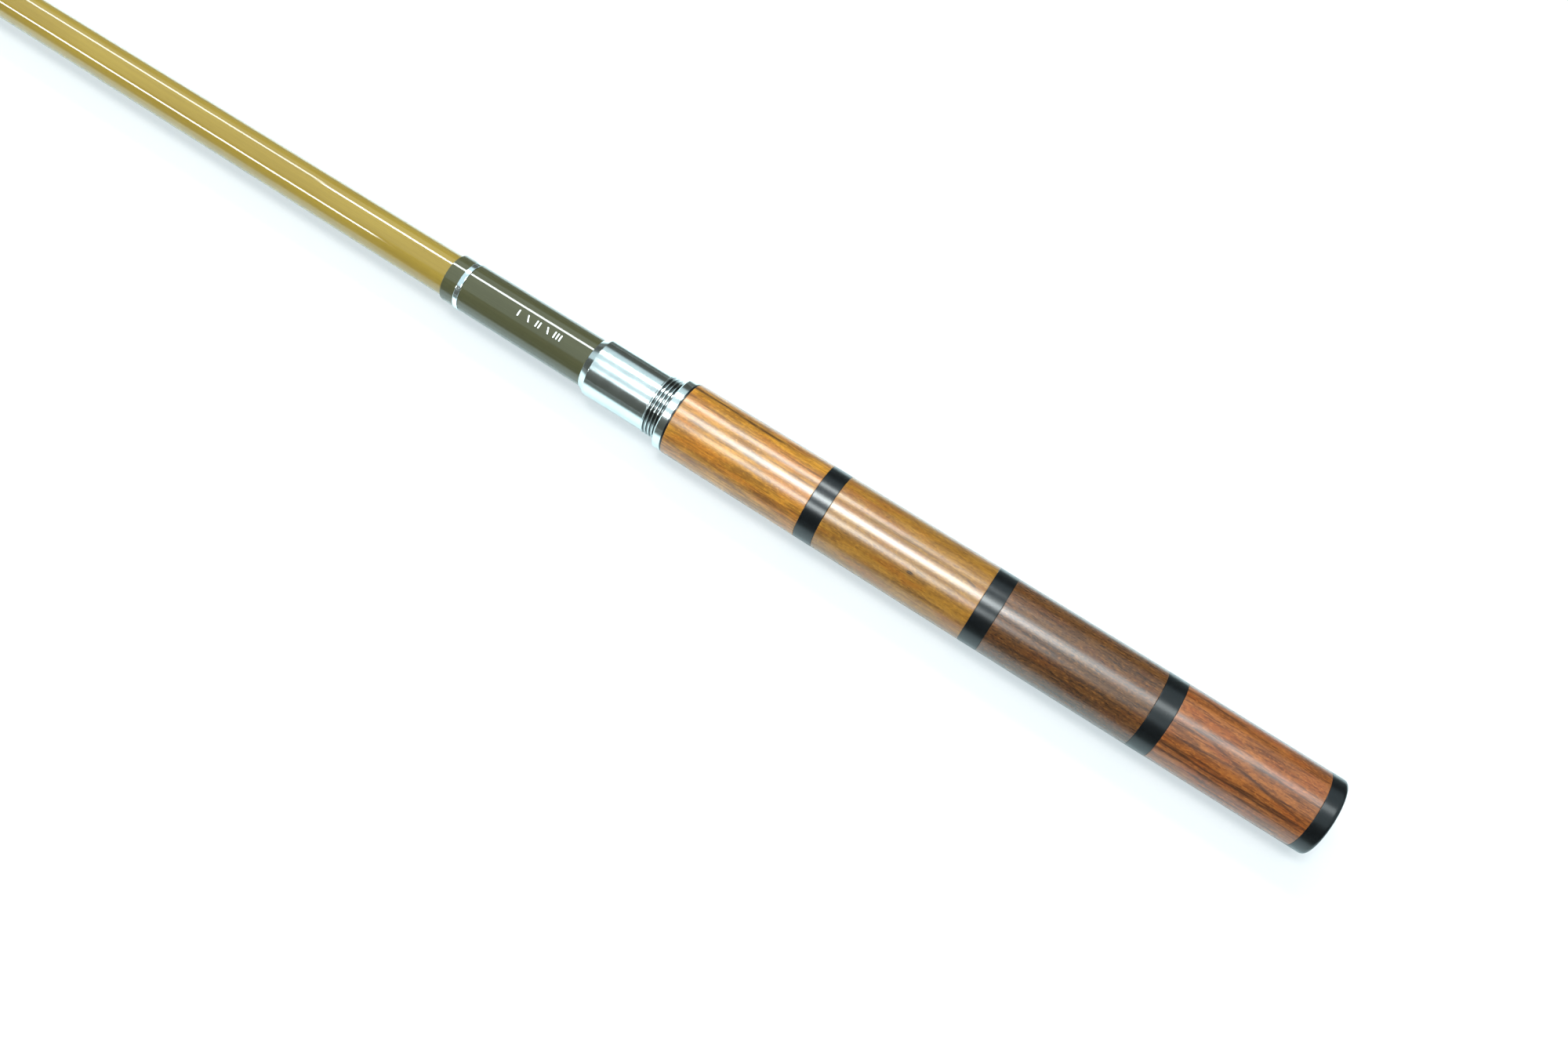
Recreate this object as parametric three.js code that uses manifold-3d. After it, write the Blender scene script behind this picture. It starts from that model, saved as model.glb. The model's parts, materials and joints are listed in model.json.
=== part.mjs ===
// A telescopic pack rod with an inlaid wooden grip: a pole of nine sections, used at three lengths.
// Millimetres. +X runs along the pole to its tip, +Z is up, and the origin is the middle of the butt
// end. The second section is drawn out here, with the seven thinner ones still nested inside it.
import * as THREE from "three";
import { mergeVertices } from "three/addons/utils/BufferGeometryUtils.js";
import Module from "manifold-3d";

// --- Driving dimensions -------------------------------------------------------------------------
const FIT = 0.05; // gap between glued or seated faces
const GRIP_SIDES = 40; // sides of every round piece on the handle, with a flat one underneath

// Stations along the handle, from the butt end
const BUTT_RING_END = 6;
const REAR_BLOCK_END = 59.1;
const REAR_SPACER_END = 66.5;
const MID_REAR_BLOCK_END = 124.2;
const MIDDLE_SPACER_END = 131.5;
const MID_FRONT_BLOCK_END = 190.4;
const FRONT_SPACER_END = 197.6;
const GRIP_END = 252.6;
const SHIM_END = 253.3;
const MOUTH_RING_START = 343.3;
const MOUTH_RING_END = 345.3;
const HANDLE_END = 351;

// The grip swells a little towards the butt: [station, radius]
const GRIP_OUTLINE = [
  [0, 14.1],
  [BUTT_RING_END, 14.1],
  [REAR_SPACER_END, 14.25],
  [MIDDLE_SPACER_END, 14.2],
  [FRONT_SPACER_END, 14.0],
  [GRIP_END, 13.75],
];
const BUTT_EDGE_RADIUS = 1.8; // rounding of the butt ring's outer edge

// Handle tube: a carbon tube that tapers inside and out, and a thinner spigot under the mouth rings
const TUBE_START = 6.2;
const TUBE_MOUTH_RADIUS = 9.1; // outside, at the mouth end
const TUBE_SLOPE = 0.0034; // growth of the outside radius per mm towards the butt
const TUBE_BORE_RADIUS = 8.15; // at the mouth
const SPIGOT_RADIUS = 8.7;
const MOUTH_RING_RADIUS = 9.35;
const MOUTH_BAND_RADIUS = 9.0;

// Ferrule: one turned piece with a flange against the wood, four grooves, a barrel and a bevelled nose
const FLANGE_END = 256.6;
const FLANGE_RADIUS = 13.5;
const FLANGE_CHAMFER = 0.4;
const GROOVES = 4;
const GROOVE_PITCH = 1.4;
const GROOVE_WIDTH = 0.8;
const GROOVE_DEPTH = 0.75;
const CREST_RADIUS = 11.35;
const BARREL_START = 262.9;
const BARREL_END = 287.5;
const BARREL_RADIUS = 11.05;
const NOSE_END = 290.3;

// Butt screw plug, in a threaded socket inside the tube
const SOCKET_START = 3.4;
const SOCKET_END = 20;
const SOCKET_RADIUS = 9.3;
const SOCKET_BORE_RADIUS = 8.5;
const PLUG_HEAD_RADIUS = 9.7;
const PLUG_HEAD_END = 2.2;
const PLUG_SCREW_RADIUS = 8.4;
const PLUG_END = 12;
const COUNTERBORE_RADIUS = 9.9;
const COUNTERBORE_END = 3.2;
const SPANNER_HOLE = { radius: 1.2, depth: 1.5, offset: 5.5 };
const O_RING = { start: 2.3, end: 3.3, inner: 8.5, outer: 9.4 };
const PAD = { end: 14, radius: 8.1, corner: 0.5 };

// Telescoping sections 2 to 9. The first one drawn is 323 long, and each one after it is shorter.
const BASE_OF_FIRST = 301; // base of section 2 when it is drawn out
const FIRST_LENGTH = 323;
const NEST_STEP = 1; // each nested base sits this much further in, and each nested front further back
const SEAT = 38.7; // length of section 3 held in section 2's mouth when it is drawn right out
const SEAT_STEP = 2; // and how much shorter that hold is on each thinner section
const BORE_CLEARANCE = 0.1; // radial, between a drawn section and its parent's mouth
// radius: outside, where the section leaves its parent's mouth; slope: loss of radius per mm
const SECTIONS = [
  { radius: 8.05, slope: 0.00375, sides: 36 },
  { radius: 6.25, slope: 0.003, sides: 32 },
  { radius: 4.7, slope: 0.0023, sides: 24 },
  { radius: 3.45, slope: 0.00175, sides: 20 },
  { radius: 2.45, slope: 0.0014, sides: 16 },
  { radius: 1.65, slope: 0.00105, sides: 16 },
  { radius: 1.0, slope: 0.0009, sides: 12 },
  { radius: 0.475, slope: 0.00045, sides: 12 },
];
const WINDING_LENGTH = 9; // whipping at the mouth of each hollow section, longest on section 2
const WINDING_LENGTH_STEP = 0.8;
const WINDING_SHARE = 0.03; // its thickness as a share of the section's radius, above the least
const WINDING_LEAST = 0.06;
const TIP_SLEEVE = { length: 7.5, inner: 0.4, outer: 0.5, proud: 0.6 };

// --- Materials ----------------------------------------------------------------------------------
function finish(color, roughness, metalness = 0) {
  return new THREE.MeshStandardMaterial({ color, roughness, metalness });
}

const MATERIALS = {
  goldenWood: finish(0xb4783c, 0.38),
  redWood: finish(0x8e4f2c, 0.4),
  walnut: finish(0x6a4532, 0.42),
  amberWood: finish(0xa8652f, 0.38),
  blackRing: finish(0x17171a, 0.4),
  steel: finish(0xc9ccca, 0.16, 1),
  silver: finish(0xe4e6e6, 0.12, 1),
  darkLacquer: finish(0x45402c, 0.12),
  oliveLacquer: finish(0x9a8448, 0.14),
  rubber: finish(0x1b1b1b, 0.75),
  foam: finish(0x3a3b3c, 0.9),
  anodised: finish(0x2a2b2e, 0.3, 0.8),
};

// --- Shapes -------------------------------------------------------------------------------------
// Revolves an outline of [station, radius] points about the X axis. An outline that leaves the axis
// open at either end is closed on itself, and its points may run either way round.
function revolve(outline, sides = GRIP_SIDES) {
  const points = outline.map(([station, radius]) => new THREE.Vector2(radius, station));
  if (THREE.ShapeUtils.area(points) < 0) points.reverse();
  const onAxis = points[0].x === 0 && points[points.length - 1].x === 0;
  if (!onAxis) points.push(points[0].clone());
  const geometry = new THREE.LatheGeometry(points, sides, Math.PI / sides);
  return geometry.rotateZ(-Math.PI / 2);
}

// A sleeve, whose outside and bore are each one radius, or a pair of radii at its two ends
function sleeve(start, end, outer, inner, sides) {
  const ends = (radii) => (Array.isArray(radii) ? radii : [radii, radii]);
  const [outerStart, outerEnd] = ends(outer);
  const [innerStart, innerEnd] = ends(inner);
  return revolve(
    [
      [start, outerStart],
      [end, outerEnd],
      [end, innerEnd],
      [start, innerStart],
    ],
    sides,
  );
}

// Points on a quarter turn about [station, radius], from one angle to another, in degrees
function arc(station, radius, size, from, to, steps = 4) {
  return Array.from({ length: steps + 1 }, (_, i) => {
    const angle = THREE.MathUtils.degToRad(from + ((to - from) * i) / steps);
    return [station + size * Math.cos(angle), radius + size * Math.sin(angle)];
  });
}

const wasm = await Module();
wasm.setup();

function solidOf(geometry) {
  const bare = geometry.clone();
  bare.deleteAttribute("normal");
  bare.deleteAttribute("uv");
  const merged = mergeVertices(bare);
  return new wasm.Manifold(
    new wasm.Mesh({
      numProp: 3,
      vertProperties: merged.attributes.position.array,
      triVerts: new Uint32Array(merged.index.array),
    }),
  );
}

function geometryOf(solid) {
  const mesh = solid.getMesh();
  const geometry = new THREE.BufferGeometry();
  geometry.setAttribute("position", new THREE.BufferAttribute(mesh.vertProperties, 3));
  geometry.setIndex(new THREE.BufferAttribute(mesh.triVerts, 1));
  geometry.computeVertexNormals();
  return geometry;
}

// --- The part -----------------------------------------------------------------------------------
const rod = new THREE.Group();

function add(name, geometry, material) {
  const mesh = new THREE.Mesh(geometry, material);
  mesh.name = name;
  rod.add(mesh);
}

// Radius of the grip's outside at a station, straight between the points of its outline
function gripRadius(station) {
  const after = GRIP_OUTLINE.findIndex(([at]) => at >= station);
  const [x1, r1] = GRIP_OUTLINE[Math.max(after, 1)];
  const [x0, r0] = GRIP_OUTLINE[Math.max(after, 1) - 1];
  return THREE.MathUtils.mapLinear(station, x0, x1, r0, r1);
}

const tubeRadius = (station) => TUBE_MOUTH_RADIUS + (HANDLE_END - station) * TUBE_SLOPE;
const tubeBore = (station) => TUBE_BORE_RADIUS + (HANDLE_END - station) * SECTIONS[0].slope;

function addHandleTube() {
  add(
    "handle_tube",
    revolve([
      [TUBE_START, tubeRadius(TUBE_START)],
      [MOUTH_RING_START, tubeRadius(MOUTH_RING_START)],
      [MOUTH_RING_START, SPIGOT_RADIUS],
      [HANDLE_END - FIT, SPIGOT_RADIUS],
      [HANDLE_END - FIT, tubeBore(HANDLE_END)],
      [TUBE_START, tubeBore(TUBE_START)],
    ]),
    MATERIALS.darkLacquer,
  );
}

// The blocks and black spacer rings, threaded onto the tube like beads
function addGrip() {
  const { amberWood, goldenWood, walnut, redWood, blackRing } = MATERIALS;
  const beads = [
    ["grip_block_rear", BUTT_RING_END, REAR_BLOCK_END, redWood],
    ["spacer_ring_rear", REAR_BLOCK_END, REAR_SPACER_END, blackRing],
    ["grip_block_mid_rear", REAR_SPACER_END, MID_REAR_BLOCK_END, walnut],
    ["spacer_ring_middle", MID_REAR_BLOCK_END, MIDDLE_SPACER_END, blackRing],
    ["grip_block_mid_front", MIDDLE_SPACER_END, MID_FRONT_BLOCK_END, goldenWood],
    ["spacer_ring_front", MID_FRONT_BLOCK_END, FRONT_SPACER_END, blackRing],
    ["grip_block_front", FRONT_SPACER_END, GRIP_END, amberWood],
  ];
  for (const [name, from, to, material] of beads) {
    const start = from + FIT;
    const outer = [gripRadius(from), gripRadius(to)];
    const inner = [tubeRadius(start) + FIT, tubeRadius(to) + FIT];
    add(name, sleeve(start, to, outer, inner), material);
  }
  const shimBore = tubeRadius(GRIP_END) + FIT;
  add("front_shim", sleeve(GRIP_END + FIT, SHIM_END, FLANGE_RADIUS + 0.1, shimBore), blackRing);
}

function addButtRing() {
  const radius = gripRadius(0);
  const round = BUTT_EDGE_RADIUS;
  add(
    "butt_ring",
    revolve([
      ...arc(round, radius - round, round, 180, 90),
      [BUTT_RING_END, radius],
      [BUTT_RING_END, SOCKET_RADIUS + 0.2],
      [COUNTERBORE_END, SOCKET_RADIUS + 0.2],
      [COUNTERBORE_END, COUNTERBORE_RADIUS],
      [0, COUNTERBORE_RADIUS],
    ]),
    MATERIALS.blackRing,
  );
}

function addFerrule() {
  const grooves = Array.from({ length: GROOVES }, (_, i) => {
    const start = FLANGE_END + 0.3 + i * GROOVE_PITCH;
    const end = start + GROOVE_WIDTH;
    const floor = CREST_RADIUS - GROOVE_DEPTH;
    return [
      [start, CREST_RADIUS],
      [start, floor],
      [end, floor],
      [end, CREST_RADIUS],
    ];
  }).flat();
  const boreAt = (station) => tubeRadius(station) + FIT;
  add(
    "ferrule",
    revolve([
      [SHIM_END + FIT, FLANGE_RADIUS],
      [FLANGE_END - FLANGE_CHAMFER, FLANGE_RADIUS],
      [FLANGE_END, FLANGE_RADIUS - FLANGE_CHAMFER],
      [FLANGE_END, CREST_RADIUS],
      ...grooves,
      [BARREL_START - 0.3, CREST_RADIUS],
      [BARREL_START, BARREL_RADIUS],
      [BARREL_END, BARREL_RADIUS],
      [NOSE_END, boreAt(NOSE_END) + 0.25],
      [NOSE_END, boreAt(NOSE_END)],
      [SHIM_END + FIT, boreAt(SHIM_END)],
    ]),
    MATERIALS.steel,
  );
}

function addMouthRings() {
  const bore = SPIGOT_RADIUS + FIT;
  const ringStart = MOUTH_RING_START + FIT;
  add("mouth_ring", sleeve(ringStart, MOUTH_RING_END, MOUTH_RING_RADIUS, bore), MATERIALS.silver);
  const bandStart = MOUTH_RING_END + FIT;
  add("mouth_band", sleeve(bandStart, HANDLE_END, MOUTH_BAND_RADIUS, bore), MATERIALS.darkLacquer);
}

function addButtSocket() {
  add(
    "butt_socket",
    sleeve(SOCKET_START, SOCKET_END, SOCKET_RADIUS, SOCKET_BORE_RADIUS),
    MATERIALS.anodised,
  );
}

// Screw plug with two holes for a pin spanner in its face, a seal under its head and a pad inside
function addButtPlug() {
  const body = revolve([
    [0, 0],
    [0, PLUG_HEAD_RADIUS - 0.3],
    [0.3, PLUG_HEAD_RADIUS],
    [PLUG_HEAD_END, PLUG_HEAD_RADIUS],
    [PLUG_HEAD_END, PLUG_SCREW_RADIUS],
    [PLUG_END, PLUG_SCREW_RADIUS],
    [PLUG_END, 0],
  ]);
  let plug = solidOf(body);
  for (const side of [-1, 1]) {
    const { radius, depth, offset } = SPANNER_HOLE;
    const hole = new THREE.CylinderGeometry(radius, radius, 2 * depth, 16);
    hole.rotateZ(-Math.PI / 2).translate(0, side * offset, 0);
    plug = plug.subtract(solidOf(hole));
  }
  add("butt_plug", geometryOf(plug), MATERIALS.anodised);
  add("plug_o_ring", sleeve(O_RING.start, O_RING.end, O_RING.outer, O_RING.inner), MATERIALS.rubber);
  add(
    "plug_pad",
    revolve([
      [PLUG_END + FIT, 0],
      [PLUG_END + FIT, PAD.radius],
      [PAD.end - PAD.corner, PAD.radius],
      [PAD.end, PAD.radius - PAD.corner],
      [PAD.end, 0],
    ]),
    MATERIALS.foam,
  );
}

// Each section's base, front and radii. It tapers at its own slope outside, and its bore tapers at
// the next section's slope, so the next one seats along its whole hold when it is drawn out.
function sectionPlan(index) {
  const { radius, slope, sides } = SECTIONS[index];
  const base = BASE_OF_FIRST + index * NEST_STEP;
  const front = BASE_OF_FIRST + FIRST_LENGTH - index * NEST_STEP;
  const hold = index === 0 ? HANDLE_END - BASE_OF_FIRST : SEAT - (index - 1) * SEAT_STEP;
  const baseRadius = radius + hold * slope;
  const frontRadius = baseRadius - (front - base) * slope;
  return { base, front, baseRadius, frontRadius, sides };
}

function addSection(index) {
  const name = `section_${index + 2}`;
  const { base, front, baseRadius, frontRadius, sides } = sectionPlan(index);
  const next = SECTIONS[index + 1];
  const mouthBore = next ? next.radius + BORE_CLEARANCE : 0;
  const baseBore = next ? mouthBore + (front - base) * next.slope : 0;
  const outline = [
    [base, baseBore],
    [base, baseRadius],
    [front, frontRadius],
    [front, mouthBore],
  ];
  add(name, revolve(outline, sides), MATERIALS.oliveLacquer);
}

function addWinding(index) {
  const { front, frontRadius, sides } = sectionPlan(index);
  const length = WINDING_LENGTH - index * WINDING_LENGTH_STEP;
  const start = front - 0.4 - length;
  const startRadius = frontRadius + (front - start) * SECTIONS[index].slope;
  const thickness = WINDING_LEAST + WINDING_SHARE * frontRadius;
  const gap = 0.02;
  add(
    `mouth_winding_${index + 2}`,
    revolve(
      [
        [start, startRadius + gap],
        [start + 0.4, startRadius + thickness],
        [front - 0.8, frontRadius + thickness],
        [front - 0.4, frontRadius + gap],
      ],
      sides,
    ),
    MATERIALS.darkLacquer,
  );
}

// Crimped sleeve on the tip, which holds whatever the line is tied to
function addTipSleeve() {
  const { front, sides } = sectionPlan(SECTIONS.length - 1);
  const { length, inner, outer, proud } = TIP_SLEEVE;
  add(
    "tip_sleeve",
    revolve(
      [
        [front + proud, 0],
        [front + proud, outer - 0.1],
        [front + proud - 0.1, outer],
        [front + proud - length, outer],
        [front + proud - length, inner],
        [front + 0.1, inner],
        [front + 0.1, 0],
      ],
      sides,
    ),
    MATERIALS.steel,
  );
}

addHandleTube();
addGrip();
addButtRing();
addFerrule();
addMouthRings();
addButtSocket();
addButtPlug();
SECTIONS.forEach((_, index) => addSection(index));
SECTIONS.slice(0, -1).forEach((_, index) => addWinding(index));
addTipSleeve();

export default rod;
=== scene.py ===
"""Looks of a telescopic rod with an inlaid wooden grip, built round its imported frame.

The frame is in metres, with the rod along X from the butt to the tip. Sizes below are in millimetres
unless a name says otherwise, and a piece is put in place by its own mesh.
"""

import json
import math
from collections import namedtuple

import bmesh
import bpy
import numpy as np
from bpy.props import FloatProperty, FloatVectorProperty, IntProperty, PointerProperty
from mathutils import Matrix, Vector


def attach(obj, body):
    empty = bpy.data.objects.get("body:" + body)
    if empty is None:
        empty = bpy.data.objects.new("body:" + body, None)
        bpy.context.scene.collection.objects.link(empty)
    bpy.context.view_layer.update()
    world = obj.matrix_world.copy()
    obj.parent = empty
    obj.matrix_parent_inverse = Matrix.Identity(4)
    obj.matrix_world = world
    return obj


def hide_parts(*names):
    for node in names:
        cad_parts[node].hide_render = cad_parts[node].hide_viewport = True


bl_info = {
    "name": "Telescopic rod",
    "version": (1, 0, 0),
    "blender": (4, 5, 0),
    "location": "View3D > Sidebar > Rod",
    "description": "Builds the turned grip, tubes, windings and plug of a telescopic rod",
    "category": "Add Mesh",
}

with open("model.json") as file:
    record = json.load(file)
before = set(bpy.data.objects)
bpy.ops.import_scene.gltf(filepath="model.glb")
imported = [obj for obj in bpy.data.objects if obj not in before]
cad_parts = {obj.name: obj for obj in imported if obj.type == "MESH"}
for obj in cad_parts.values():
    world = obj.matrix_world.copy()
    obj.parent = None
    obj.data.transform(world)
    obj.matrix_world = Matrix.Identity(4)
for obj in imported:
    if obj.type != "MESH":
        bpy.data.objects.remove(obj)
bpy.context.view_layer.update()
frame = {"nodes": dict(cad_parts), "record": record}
MM = 0.001
BODY_OF = {
    node: body
    for body, nodes in frame["record"]["behaviour"]["bodies"].items()
    for node in nodes
}


# --- Sizes taken from the frame ---
Turned = namedtuple("Turned", "start end outer_start outer_end bore_start bore_end widest")


def turned_size(node):
    """A round CAD piece in millimetres: its two ends, and its largest and smallest radius at each."""
    mesh = frame["nodes"][node].data
    points = np.empty(len(mesh.vertices) * 3)
    mesh.vertices.foreach_get("co", points)
    station, y, z = points.reshape(-1, 3).T / MM
    radius = np.hypot(y, z)
    start, end = station.min(), station.max()
    at_start = radius[station < start + 0.01]
    at_end = radius[station > end - 0.01]
    return Turned(
        start, end, at_start.max(), at_end.max(), at_start.min(), at_end.min(), radius.max()
    )


SECTION_NUMBERS = range(2, 10)
HANDLE = turned_size("handle_tube")
MOUTH_RING = turned_size("mouth_ring")
FERRULE = turned_size("ferrule")
GRIP_RADIUS = max(turned_size(f"spacer_ring_{place}").widest for place in ("rear", "middle"))
GROOVED_RUN = (257.0, 262.9, 11.35)  # first and last station of the ferrule's grooves, and their crest
TUBE_SLOPE = 0.0034  # growth of the handle tube's outside radius per millimetre towards the butt
MERGE_DISTANCE = 1e-7  # metres
LAMP_TINT = (0.9, 0.99, 1.0)


def tube_radius(station):
    """Outside radius of the handle tube, straight from its butt end."""
    return HANDLE.outer_start - (station - HANDLE.start) * TUBE_SLOPE


# --- Settings ---
def length(name, description, default_mm):
    """A length property, kept in metres."""
    return FloatProperty(
        name=name, description=description, default=default_mm * MM, unit="LENGTH", min=0
    )


def colour(name, description, *default):
    """A linear colour property."""
    return FloatVectorProperty(
        name=name, description=description, default=default, subtype="COLOR", min=0, max=1
    )


def share(name, description, default):
    """A property from 0 to 1."""
    return FloatProperty(
        name=name, description=description, default=default, subtype="FACTOR", min=0, max=1
    )


class RodShape(bpy.types.PropertyGroup):
    """Sizes of the fine detail on the rod's pieces"""

    sides: IntProperty(
        name="Sides", description="Facets round a piece of the handle", default=160, min=24
    )
    joint_ease: length("Joint ease", "Rounding of the edges of the grip's blocks and rings", 0.12)
    turned_ease: length("Turned ease", "Rounding of the edges of the turned metal", 0.1)
    butt_round: length("Butt round", "Rounding of the butt ring's outer edge", 1.8)
    flange_width: length("Flange width", "Width of the ferrule's flange", 3.25)
    groove_pitch: length("Groove pitch", "Distance between the ferrule's grooves", 1.4)
    groove_width: length("Groove width", "Width of each groove in the ferrule, at its mouth", 1.12)
    groove_depth: length("Groove depth", "Depth of each groove in the ferrule", 0.7)
    thread_pitch: length("Thread pitch", "Pitch of the butt plug's screw thread", 1.5)
    thread_depth: length("Thread depth", "Depth of the butt plug's screw thread", 0.35)
    winding_pitch: length("Winding pitch", "Distance between turns of the mouth windings", 0.34)
    tally_height: length("Tally height", "Height of the tally marks on the handle tube", 2.4)
    tally_width: length("Tally width", "Width of one tally mark's stroke", 0.5)


class RodFinish(bpy.types.PropertyGroup):
    """Colours and gloss of the rod's materials"""

    amber: colour("Amber wood", "Body colour of the front block", 0.285, 0.117, 0.01)
    golden: colour("Golden wood", "Body colour of the second block from the front", 0.188, 0.08, 0.0077)
    walnut: colour("Walnut wood", "Body colour of the third block from the front", 0.072, 0.0255, 0.0045)
    red: colour("Red wood", "Body colour of the block at the butt", 0.17, 0.05, 0.0085)
    ring: colour("Black rings", "Colour of the spacer rings", 0.0018, 0.0024, 0.003)
    metal: colour("Turned metal", "Colour of the ferrule and tip sleeve", 0.62, 0.66, 0.66)
    silver: colour("Bright ring", "Colour of the ring at the handle's mouth", 0.78, 0.84, 0.86)
    dark_lacquer: colour("Dark lacquer", "Colour of the handle tube", 0.042, 0.04, 0.0175)
    olive_lacquer: colour("Olive lacquer", "Colour of the sliding sections", 0.19, 0.125, 0.019)
    ink: colour("Tally ink", "Colour of the tally marks", 0.86, 0.9, 0.9)
    anodised: colour("Anodised metal", "Colour of the butt plug and its socket", 0.03, 0.032, 0.036)
    rubber: colour("Seal rubber", "Colour of the plug's seal", 0.012, 0.012, 0.013)
    foam: colour("Foam", "Colour of the plug's pad", 0.04, 0.041, 0.044)
    wood_gloss: share("Wood gloss", "Roughness of the lacquer on the wood", 0.26)
    tube_gloss: share("Tube gloss", "Roughness of the lacquer on the tubes", 0.05)


class RodStage(bpy.types.PropertyGroup):
    """Floor, light and camera"""

    floor_size: length("Floor size", "Width of the floor", 7000)
    lamp_distance: length("Lamp distance", "From the rod to each strip lamp", 2200)
    lamp_brightness: FloatProperty(
        name="Lamp brightness", description="Radiance of the strip lamps", default=16, min=0
    )
    elevation: FloatProperty(
        name="Elevation",
        description="Height of the camera's line of sight above the floor",
        default=math.radians(66),
        subtype="ANGLE",
    )
    distance: length("Distance", "From the camera to the rod", 509.6)
    lens: FloatProperty(
        name="Lens", description="Focal length of the camera", default=34.2, unit="CAMERA"
    )


# --- Surfaces ---
def eased(corners, radius, steps=4):
    """Rounds every corner of a closed outline.

    The corner C between the sides from A and to B becomes the parabola
    (1-s)^2 P + 2 s (1-s) C + s^2 Q, where P and Q lie on the two sides, as far from C as the
    tangents of an arc of that radius. One more point on each side keeps the sides flat.
    """
    corners = np.asarray(corners, float)
    before, after = np.roll(corners, 1, 0) - corners, np.roll(corners, -1, 0) - corners
    before_length = np.linalg.norm(before, axis=1, keepdims=True)
    after_length = np.linalg.norm(after, axis=1, keepdims=True)
    before, after = before / before_length, after / after_length
    half_angle = np.arccos(np.clip((before * after).sum(1, keepdims=True), -1, 1)) / 2
    tangent = np.broadcast_to(radius, len(corners))[:, None] / np.tan(half_angle)
    tangent = np.minimum(tangent, 0.36 * np.minimum(before_length, after_length))
    s = np.linspace(0, 1, steps + 1)[None, :, None]
    first, last = corners + before * tangent, corners + after * tangent
    curve = (1 - s) ** 2 * first[:, None] + 2 * s * (1 - s) * corners[:, None] + s**2 * last[:, None]
    hold = 1.3
    lead = (corners + before * tangent * hold)[:, None]
    trail = (corners + after * tangent * hold)[:, None]
    return np.concatenate([lead, curve, trail], axis=1).reshape(-1, 2)


def round_rod(station, radius, angle):
    """Grid of points about the X axis: (x, r cos a, r sin a)."""
    return np.stack(
        [station + 0 * angle, radius * np.cos(angle), radius * np.sin(angle)], axis=-1
    )


def full_turn(sides):
    """Evenly spaced angles round a full turn, from 0: 2 pi j / sides."""
    return np.arange(sides) * 2 * math.pi / sides


def turned(outline, sides):
    """Grid of points for an outline turned about the X axis."""
    station, radius = np.asarray(outline, float).T[:, :, None]
    return round_rod(station, radius, full_turn(sides))


def helix(station, pitch, sides):
    """Height from 0 to 1 of a ridge that climbs one pitch per turn: |sin(pi (x / p - a / 2 pi))|."""
    turn_share = np.arange(sides) / sides
    return np.abs(np.sin(math.pi * (station[:, None] / pitch - turn_share)))


def skin(name, points, material, sharp=math.radians(40)):
    """Makes a piece from a grid of points in millimetres that closes on itself both ways.

    Face (i, j) joins points i and i+1 of the outline at turns j and j+1, both counted round. Points
    that meet on the axis are merged, and the faces are turned over if the volume comes out negative.
    """
    rows, columns = points.shape[:2]
    index = np.arange(rows * columns).reshape(rows, columns)
    beside, beyond = np.roll(index, -1, 1), np.roll(index, -1, 0)
    faces = np.stack([index, beyond, np.roll(beyond, -1, 1), beside], axis=-1).reshape(-1, 4)
    places = points.reshape(-1, 3) * MM
    a, b, c, d = places[faces].transpose(1, 0, 2)
    volume = (np.cross(b - a, c - a) * a + np.cross(c - a, d - a) * a).sum()
    if volume < 0:
        faces = faces[:, ::-1]
    mesh = bpy.data.meshes.new(name)
    mesh.from_pydata(places.tolist(), [], faces.tolist())
    tidy_mesh(mesh, sharp)
    mesh.materials.append(material)
    piece = bpy.data.objects.new(name, mesh)
    bpy.context.scene.collection.objects.link(piece)
    return piece


def tidy_mesh(mesh, sharp):
    """Merges points that meet, and shades smooth across edges flatter than the sharp angle."""
    work = bmesh.new()
    work.from_mesh(mesh)
    bmesh.ops.remove_doubles(work, verts=work.verts, dist=MERGE_DISTANCE)
    bmesh.ops.dissolve_degenerate(work, edges=work.edges, dist=MERGE_DISTANCE)
    loose = [edge for edge in work.edges if not edge.link_faces]
    bmesh.ops.delete(work, geom=loose, context="EDGES")
    work.to_mesh(mesh)
    work.free()
    mesh.polygons.foreach_set("use_smooth", [True] * len(mesh.polygons))
    mesh.set_sharp_from_angle(angle=sharp)


def sleeve(size):
    """Corners of a sleeve with straight or tapered walls."""
    return [
        (size.start, size.outer_start),
        (size.end, size.outer_end),
        (size.end, size.bore_end),
        (size.start, size.bore_start),
    ]


def stand_for(piece, node):
    """Rides the piece on its node's body, in that node's place, and hides the node."""
    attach(piece, BODY_OF[node])
    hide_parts(node)
    return piece


def fit(node, made, points, slot):
    """Makes the piece that stands for a node, named for it and for how the piece is made."""
    return stand_for(skin(f"{node}_{made}", points, finish_of(slot)), node)


def fit_turned(node, made, corners, ease, sides, slot, steps=4):
    """Fits a piece turned from an outline with eased corners."""
    return fit(node, made, turned(eased(corners, ease, steps), sides), slot)


# --- Shader maths ---
class Socket:
    """A number or colour inside a material, so that shader maths reads as plain arithmetic."""

    def __init__(self, recipe, output):
        self.recipe = recipe
        self.output = output

    def math(self, operation, *values):
        return self.recipe.node(
            "ShaderNodeMath", {"operation": operation}, dict(enumerate(values))
        )

    def __add__(self, other):
        return self.math("ADD", self, other)

    __radd__ = __add__

    def __sub__(self, other):
        return self.math("SUBTRACT", self, other)

    def __rsub__(self, other):
        return self.math("SUBTRACT", other, self)

    def __mul__(self, other):
        return self.math("MULTIPLY", self, other)

    __rmul__ = __mul__

    def __truediv__(self, other):
        return self.math("DIVIDE", self, other)

    def __pow__(self, other):
        return self.math("POWER", self, other)

    def __abs__(self):
        return self.math("ABSOLUTE", self)

    def fraction(self):
        return self.math("FRACT", self)


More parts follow.
